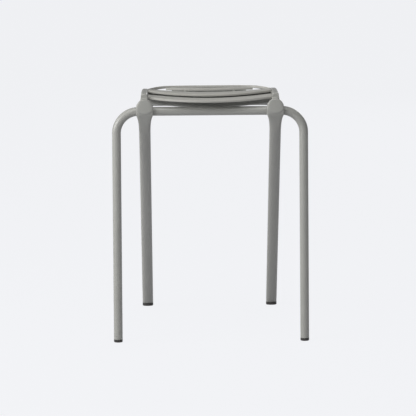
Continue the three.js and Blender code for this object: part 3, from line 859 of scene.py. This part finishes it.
# %% Channels and ribs
CHANNEL, CHANNEL_SHEET, CORNER, CORNER_STEPS, OVERLAP = 24, 1.6, 3.0, 5, 4
# Name, solid, the slat it hangs from, that slat's back edge (1) or front edge (0), where the near
# wall stands from there, how deep both walls start and the floor lies, and the half length
CHANNELS = [
    ("front_channel", "stiffener_front", "front", 1, -OVERLAP, 2.0, -3.6, 17.3, SLAT_HALF),
    ("rear_channel", "stiffener_rear", "rear", 0, OVERLAP - CHANNEL, 0.1, 2.4, 20.4, 70),
]


def channel_profile(share, near, near_top, far_top, low):
    """A channel, open above. Its heights are depths under the top of the slat it hangs from."""
    far = near + CHANNEL
    corner = quarter_round(CORNER, CORNER_STEPS)
    line = [(near, near_top)] + [(near + run, low - rise) for run, rise in corner]
    line += [(far - run, low - rise) for run, rise in reversed(corner)]
    line += [
        (far, far_top), (far - CHANNEL_SHEET, far_top), (far - CHANNEL_SHEET, low - CORNER),
        (far - CORNER, low - CHANNEL_SHEET), (near + CORNER, low - CHANNEL_SHEET),
        (near + CHANNEL_SHEET, low - CORNER), (near + CHANNEL_SHEET, near_top),
    ]
    return [(share, y, depth) for y, depth in line]


for name, solid, label, *profile, half in CHANNELS:
    inputs = {**slat_inputs[label], "Coat": frame_coat}
    channel = pressed(name, channel_profile(*profile), inputs, solid, half / SLAT_HALF)
    print(name, len(channel.data.polygons), "faces")
for side_name, _ in SIDES:
    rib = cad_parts[f"seat_rib_{side_name}"]
    rib.data.materials.clear()
    rib.data.materials.append(frame_coat)

# %% [markdown]
# The slats' ends are welded to the rails, and the rear bar's ends too. A weld seam is a bead with
# small even ripples, one for each time the metal set, and the coat flows over it. The tree sweeps
# it: a round section runs along the seam's path, and its radius swells and sinks with the length
# that it has run. A row of beads would be the other way, but it would show as separate balls.

# %% A tree that lays weld seams
SEAM_SIDES, STEPS_A_RIPPLE = 12, 4.0
THINNEST, SWELL = 0.82, 0.36  # The wave peaks at 0.5, so the bead swells from 0.82 to 1.0

seam_tree, given = new_tree("weld_seam", ["Radius", "Ripple"])
path = add_node(seam_tree, "GeometryNodeMeshToCurve", Mesh=given["Geometry"])
step = add_node(
    seam_tree, "ShaderNodeMath", {"operation": "DIVIDE"}, i0=given["Ripple"], i1=STEPS_A_RIPPLE
)
stepped = add_node(
    seam_tree, "GeometryNodeResampleCurve", {"mode": "LENGTH"}, Curve=path.outputs[0],
    Length=step.outputs[0],
)
run = add_node(seam_tree, "GeometryNodeSplineParameter").outputs["Length"]
beats = add_node(
    seam_tree, "ShaderNodeMath", {"operation": "DIVIDE"}, i0=run, i1=given["Ripple"]
)
wave = add_node(
    seam_tree, "ShaderNodeMath", {"operation": "PINGPONG"}, i0=beats.outputs[0], i1=0.5
)
swollen = add_node(
    seam_tree, "ShaderNodeMath", {"operation": "MULTIPLY_ADD"}, i0=wave.outputs[0], i1=SWELL,
    i2=THINNEST,
)
rippled = add_node(
    seam_tree, "GeometryNodeSetCurveRadius", Curve=stepped.outputs[0], Radius=swollen.outputs[0]
)
bead = add_node(
    seam_tree, "GeometryNodeCurvePrimitiveCircle", Resolution=SEAM_SIDES, Radius=given["Radius"]
)
laid = add_node(
    seam_tree, "GeometryNodeCurveToMesh", Curve=rippled.outputs[0],
    Profile_Curve=bead.outputs["Curve"], Fill_Caps=True,
)
end_tree(seam_tree, laid.outputs[0], given["Coat"])

# %% [markdown]
# A slat's seam lies in the groove between its end and the rail's rounded side, a little under
# the slat's top, so it fills the groove and hardly stands out. The rear bar's seam is a ring.
# One mesh of edges holds all the seams of a side, and the tree turns each run of edges to a bead.

# %% Weld seams
SEAM_RADIUS, RIPPLE, SEAM_DEPTH, SEAM_MARGIN = 1.4, 2.4, 1.2, 2
SEAM_STEPS, RING_STEPS = 12, 36


def rail_inset(depth):
    """How far a rail's rounded side lies inside its full width, at a depth under its top."""
    share = max(1 - depth / (RAIL_HEIGHT / 2), 0)
    return RAIL_WIDTH / 2 * (1 - (1 - share**4) ** 0.25)


def slat_seam(side, start, finish, drop):
    """The points of a seam along a slat's end, in the groove beside the rail."""
    x = side * (SLAT_HALF + TOUCH / 2 + rail_inset(drop + SEAM_DEPTH) / 2)
    ys = [mix(start, finish, i / SEAM_STEPS) for i in range(SEAM_STEPS + 1)]
    return [place(x, y, rail_top(y) - drop - SEAM_DEPTH) for y in ys]


def bar_seam(side):
    """The points of a ring round the end of the rear bar."""
    x = rear_high.x if side > 0 else rear_low.x
    ring = []
    for i in range(RING_STEPS):
        t = i / RING_STEPS * math.tau
        y, z = rear_radius * math.cos(t), rear_radius * math.sin(t)
        ring.append(Vector((x, rear_middle.y + y, rear_middle.z + z)))
    return ring


for side_name, side in SIDES:
    points, edges = [], []
    for start, finish, drop in welded_ends:
        finish = min(finish - SEAM_MARGIN, BEND_REACH)
        edges += [(len(points) + i, len(points) + i + 1) for i in range(SEAM_STEPS)]
        points += slat_seam(side, start + SEAM_MARGIN, finish, drop)
    first = len(points)
    edges += [(first + i, first + (i + 1) % RING_STEPS) for i in range(RING_STEPS)]
    points += bar_seam(side)
    seams = new_object(f"weld_seams_{side_name}", points, edges, [])
    sizes = {"Radius": SEAM_RADIUS * MM, "Ripple": RIPPLE * MM}
    run_tree(seams, seam_tree, {**sizes, "Coat": frame_coat})
    finish_piece(seams, frame_coat)
print("weld seams:", len(seams.data.polygons), "faces a side")

# %% [markdown]
# The stool stands on four small moulded feet. The front ones are round plugs in the hoop's
# ends, and the rear ones are oval, as the legs are where they were sawn level. Both have a
# rounded rim, which catches a thin line of light at the floor.

# %% Feet
FRONT_HEIGHT, FRONT_STEM, FRONT_INSET = 5.0, 20, 1.9
REAR_HEIGHT, REAR_STEM, REAR_INSET = 5.7, 16, 1.8
SOLE_EDGE, UPPER_EDGE, UPPER_INSET = 1.0, 0.6, 0.5

front_levels = [
    (0, 0), (FRONT_HEIGHT - UPPER_EDGE, 0), (FRONT_HEIGHT, UPPER_INSET),
    (FRONT_HEIGHT, FRONT_INSET), (FRONT_HEIGHT + FRONT_STEM, FRONT_INSET),
]
rear_levels = [(0, 0), (REAR_HEIGHT - UPPER_EDGE, 0), (REAR_HEIGHT, UPPER_INSET)]
rear_half_length = LEG_THICKNESS / 2 / math.cos(LEAN)
for side_name, side in SIDES:
    x = side * HOOP_FOOT / 2
    rings = plug(x, 0, TUBE_RADIUS, TUBE_RADIUS, 1, SOLE_EDGE, front_levels)
    loft(f"front_glide_{side_name}", rings, foot_plastic, f"front_foot_{side_name}")

    x, sizes = leg_x(side, FOOT_HEIGHT), (LEG_WIDTH / 2, rear_half_length)
    rings = plug(x, FOOT_REACH, *sizes, LEG_FULLNESS, SOLE_EDGE, rear_levels)
    # The leg's own rings run the other way round, so the stem's are turned to match the plug's
    for z in (REAR_HEIGHT, REAR_HEIGHT + REAR_STEM):
        ring = leg_cut(side, z, REAR_INSET)
        rings.append((ring[1:] + ring[:1])[::-1])
    loft(f"rear_glide_{side_name}", rings, foot_plastic, f"rear_foot_{side_name}")
print(f"feet: {TUBE_RADIUS * 2:.0f} mm round in front, {LEG_WIDTH:.1f} mm wide at the back")

# %% [markdown]
# The stool stands on a pale sweep of paper. To the camera, and in a gloss, the floor is nearly
# even, so most of its colour is given by light of its own, and the rest is lit paper that keeps
# the soft shadow. To every other ray it is plain paper, which sends light up under the seat.

# %% Floor
PAPER, PAPER_IN_SHADE = "#F4F5F8", "#C4C4C8"
GLOW_SHARE = 0.95
FLOOR_HALF = 30


def paper_floor():
    material, tree = empty_material("paper_sweep")
    rays = add_node(tree, "ShaderNodeLightPath").outputs
    seen = add_node(
        tree, "ShaderNodeMath", {"operation": "MAXIMUM"}, i0=rays["Is Camera Ray"],
        i1=rays["Is Glossy Ray"],
    )
    share = add_node(
        tree, "ShaderNodeMath", {"operation": "MULTIPLY"}, i0=seen.outputs[0], i1=GLOW_SHARE
    )
    lit = add_node(tree, "ShaderNodeBsdfDiffuse", Color=linear(PAPER_IN_SHADE))
    glow = add_node(tree, "ShaderNodeEmission", Color=linear(PAPER), Strength=1.0)
    mixed = add_node(
        tree, "ShaderNodeMixShader", i0=share.outputs[0], i1=lit.outputs[0], i2=glow.outputs[0]
    )
    add_node(tree, "ShaderNodeOutputMaterial", Surface=mixed.outputs[0])
    return material


corners = [(x * FLOOR_HALF, y * FLOOR_HALF, 0) for x, y in ((-1, -1), (1, -1), (1, 1), (-1, 1))]
floor = new_object("paper_floor", corners, [], [(0, 1, 2, 3)])
floor.data.materials.append(paper_floor())
print(f"floor: {2 * FLOOR_HALF} m square")

# %% [markdown]
# The stool stands in a dim, even room, so that no side of a tube goes black. To the camera the
# room is as pale as the paper, which makes the background, and its light on the object is far
# weaker than that.

# %% Room
ROOM_LEVEL = 0.23

world = bpy.data.worlds.new("pale_room")
bpy.context.scene.world = world
world.use_nodes = True
room = world.node_tree
room.nodes.clear()
rays = add_node(room, "ShaderNodeLightPath").outputs
seen = add_node(
    room, "ShaderNodeMath", {"operation": "MAXIMUM"}, i0=rays["Is Camera Ray"],
    i1=rays["Is Transmission Ray"],
)
level = add_node(
    room, "ShaderNodeMapRange", Value=seen.outputs[0], To_Min=ROOM_LEVEL, To_Max=1.0
)
sky = add_node(
    room, "ShaderNodeBackground", Color=linear(PAPER), Strength=level.outputs["Result"]
)
add_node(room, "ShaderNodeOutputWorld", Surface=sky.outputs[0])
print("room light on the object:", ROOM_LEVEL)

# %% [markdown]
# The room alone would leave the tubes flat. A broad lamp overhead, one at the front left and a
# small one at the left give each tube a soft highlight down its left side and a darker edge on
# the right. A weak lamp behind keeps the back legible.

# %% Lamps


def softbox(name, where, aim, width, watts):
    """A square lamp. Its place, its aim and its width are in metres."""
    data = bpy.data.lights.new(name, "AREA")
    data.shape = "SQUARE"
    data.size = width
    data.energy = watts
    lamp = bpy.data.objects.new(name, data)
    bpy.context.scene.collection.objects.link(lamp)
    lamp.location = where
    lamp.rotation_euler = (Vector(aim) - Vector(where)).to_track_quat("-Z", "Y").to_euler()
    print(f"{name}: {watts} W, {width} m wide")


softbox("overhead_softbox", (-0.3, -1.2, 2.5), aim=(0, 0, 0.3), width=2.0, watts=36)
softbox("front_softbox", (-3.0, -2.8, 1.8), aim=(0, 0, 0.35), width=1.4, watts=68)
softbox("left_softbox", (-2.4, -0.6, 1.0), aim=(0, 0, 0.3), width=1.0, watts=34)
softbox("back_softbox", (1.6, 3.4, 1.6), aim=(0, 0, 0.3), width=1.6, watts=30)

# %% [markdown]
# Last comes the setting that the picture needs.

# %% Finish
bpy.context.scene.view_settings.view_transform = "Standard"
